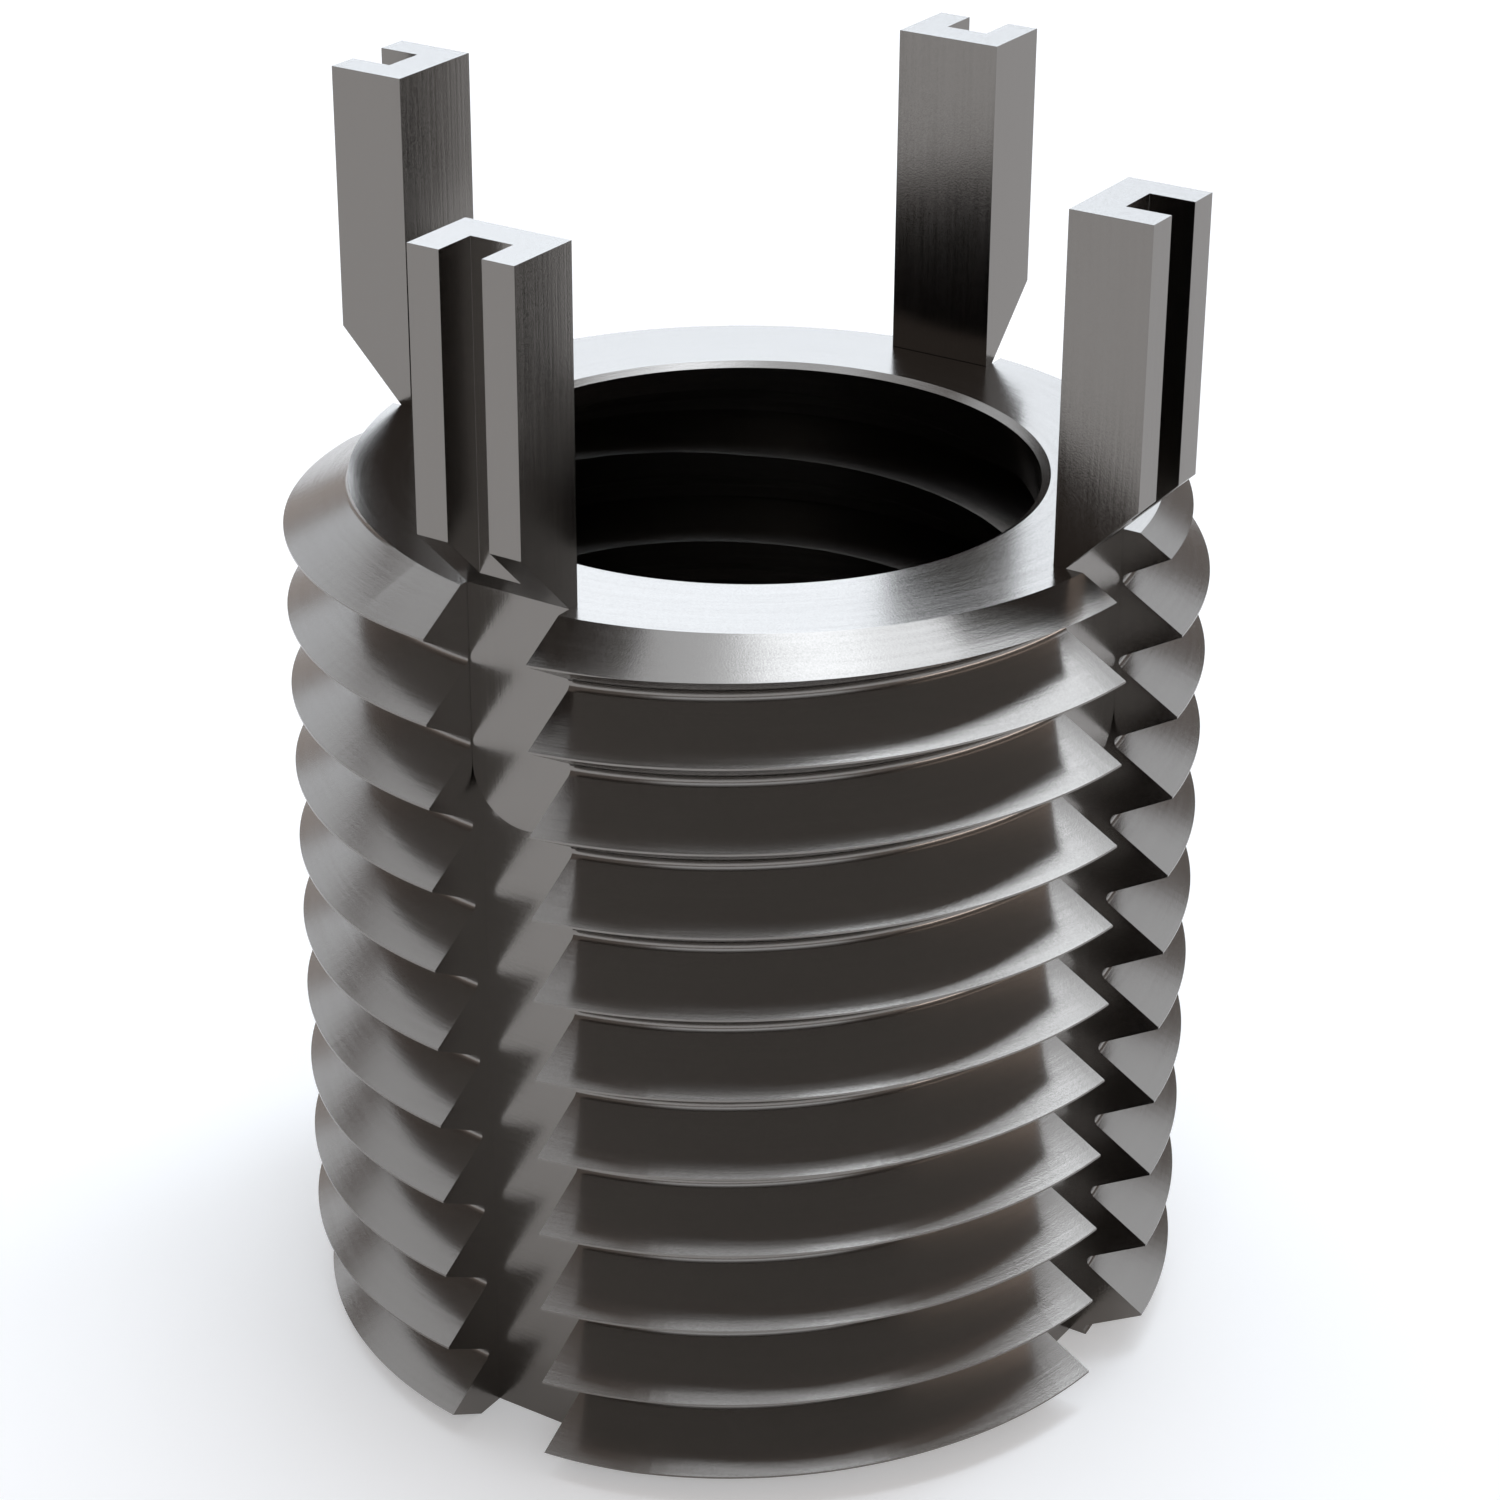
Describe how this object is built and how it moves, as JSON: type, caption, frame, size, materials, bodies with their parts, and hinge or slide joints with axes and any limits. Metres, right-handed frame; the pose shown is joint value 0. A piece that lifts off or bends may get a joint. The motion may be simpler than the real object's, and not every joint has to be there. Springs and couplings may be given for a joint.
{
  "type": "thinwall threaded insert",
  "caption": "Thin-walled steel sleeve threaded inside and out, with locking keys standing in its keyways, ready to be driven down flush once the sleeve is screwed in.",
  "frame": {"origin": "centre of the sleeve's bottom face, on the thread axis", "axes": "+Z along the thread axis, from the bottom face towards the raised keys; the keyways lie on +X, +Y, -X and -Y"},
  "size_m": [0.016, 0.016, 0.022],
  "materials": {
    "sleeve_steel": "turned, passivated, dark satin",
    "key_steel": "drawn, passivated, dark satin"
  },
  "bodies": {
    "sleeve": {"threaded_sleeve": "sleeve_steel"},
    "key_1": {"locking_key_1": "key_steel"},
    "key_2": {"locking_key_2": "key_steel"},
    "key_3": {"locking_key_3": "key_steel"},
    "key_4": {"locking_key_4": "key_steel"}
  },
  "joints": [
    {"name": "key_1_slide", "type": "slide", "parent": "sleeve", "child": "key_1", "axis": [0, 0, 1], "range_m": [-0.006, 0]},
    {"name": "key_2_slide", "type": "slide", "parent": "sleeve", "child": "key_2", "axis": [0, 0, 1], "range_m": [-0.006, 0]},
    {"name": "key_3_slide", "type": "slide", "parent": "sleeve", "child": "key_3", "axis": [0, 0, 1], "range_m": [-0.006, 0]},
    {"name": "key_4_slide", "type": "slide", "parent": "sleeve", "child": "key_4", "axis": [0, 0, 1], "range_m": [-0.006, 0]}
  ]
}
